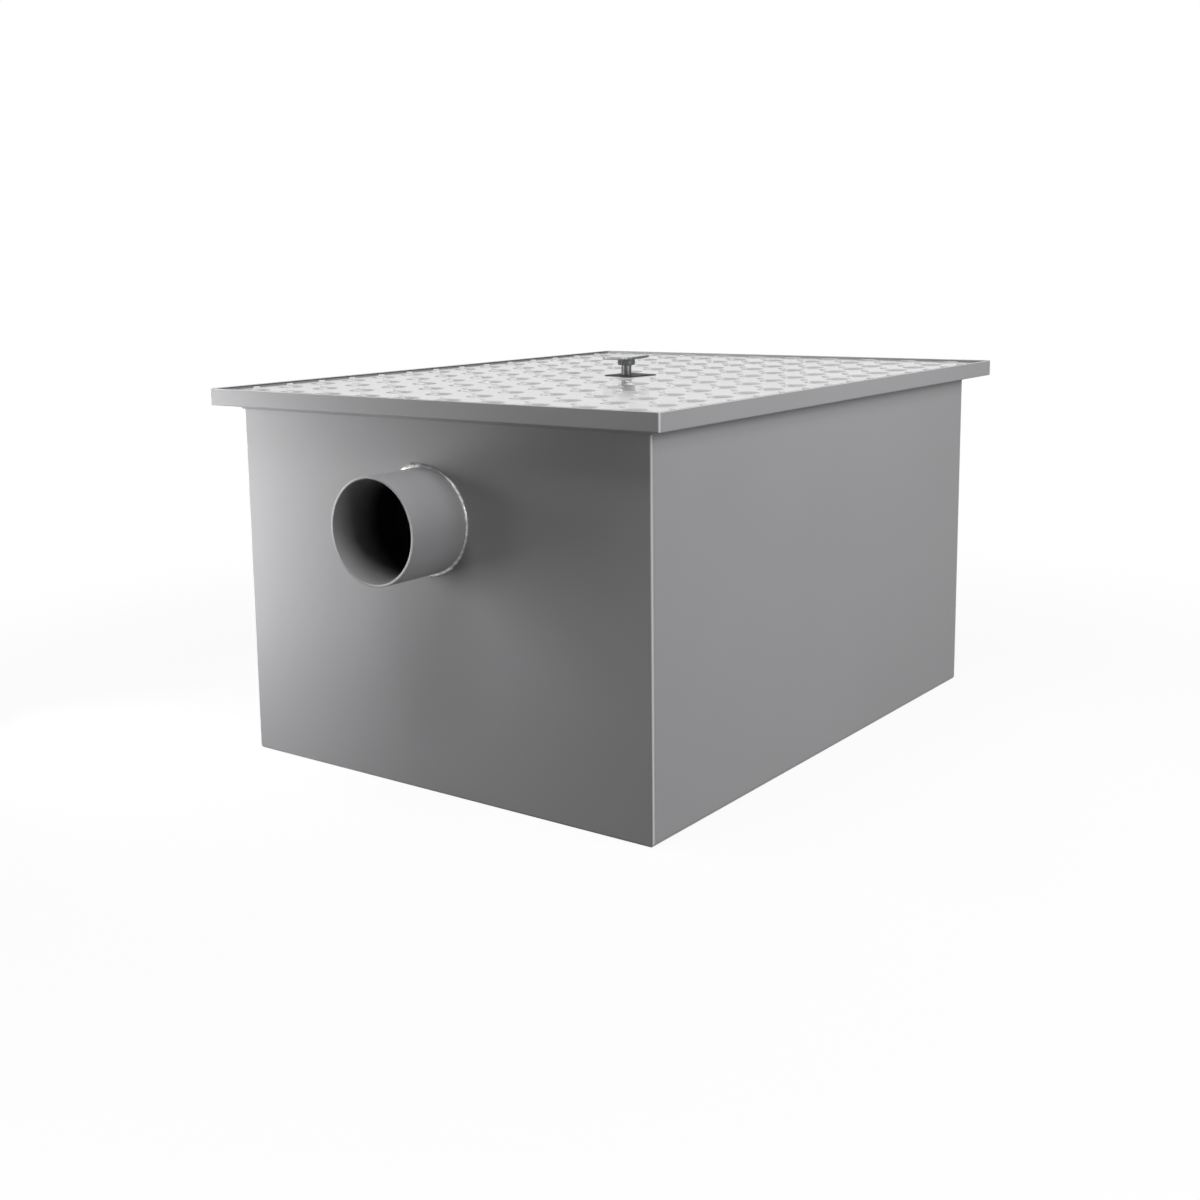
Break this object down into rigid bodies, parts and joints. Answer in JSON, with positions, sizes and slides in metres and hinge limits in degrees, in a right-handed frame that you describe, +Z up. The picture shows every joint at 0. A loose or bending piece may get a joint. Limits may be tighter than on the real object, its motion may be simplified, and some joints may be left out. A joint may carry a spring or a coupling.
{
  "type": "grease trap",
  "caption": "Rectangular painted steel grease trap with pipe stubs at both ends, removable baffles inside and a tread plate cover held down by a hand-turned bolt.",
  "frame": {"origin": "middle of the tank's base, on the floor it stands on", "axes": "+Y along the flow from the inlet stub to the outlet stub, +Z up, +X across the width"},
  "size_m": [0.48, 0.704, 0.3517],
  "materials": {
    "tank_paint": "satin grey epoxy paint",
    "cover_paint": "glossy grey epoxy paint",
    "plated_steel": "dull zinc plate",
    "black_rubber": "matt black rubber"
  },
  "bodies": {
    "tank": {"tank_trough": "tank_paint", "inlet_end_plate": "tank_paint", "outlet_end_plate": "tank_paint", "rim_frame": "tank_paint", "rim_weld": "tank_paint", "inlet_pipe": "tank_paint", "outlet_pipe": "tank_paint", "inlet_baffle": "tank_paint", "outlet_baffle": "tank_paint", "inlet_baffle_guides": "tank_paint", "outlet_baffle_guides": "tank_paint", "center_weir": "tank_paint", "cross_bar": "tank_paint", "cross_bar_nut": "plated_steel", "cover_gasket": "black_rubber", "edge_seal": "black_rubber"},
    "cover": {"cover_plate": "cover_paint", "bolt_washer": "black_rubber"},
    "retainer": {"bolt_retainer": "plated_steel"},
    "bolt": {"hold_down_bolt": "plated_steel", "bolt_handle": "plated_steel"}
  },
  "joints": [
    {"name": "cover_lift", "type": "slide", "parent": "tank", "child": "cover", "axis": [0, 0, 1], "range_m": [0, 0.15]},
    {"name": "bolt_rise", "type": "slide", "parent": "cover", "child": "retainer", "axis": [0, 0, 1], "range_m": [-0.0088, 0.016]},
    {"name": "bolt_turn", "type": "hinge", "parent": "retainer", "child": "bolt", "pos_m": [0, 0, 0.332], "axis": [0, 0, 1], "range_deg": [-1980, 3600]}
  ],
  "couplings": [
    {"joint": "bolt_rise", "follows": "bolt_turn", "m_per_rad": 0.00025266}
  ]
}
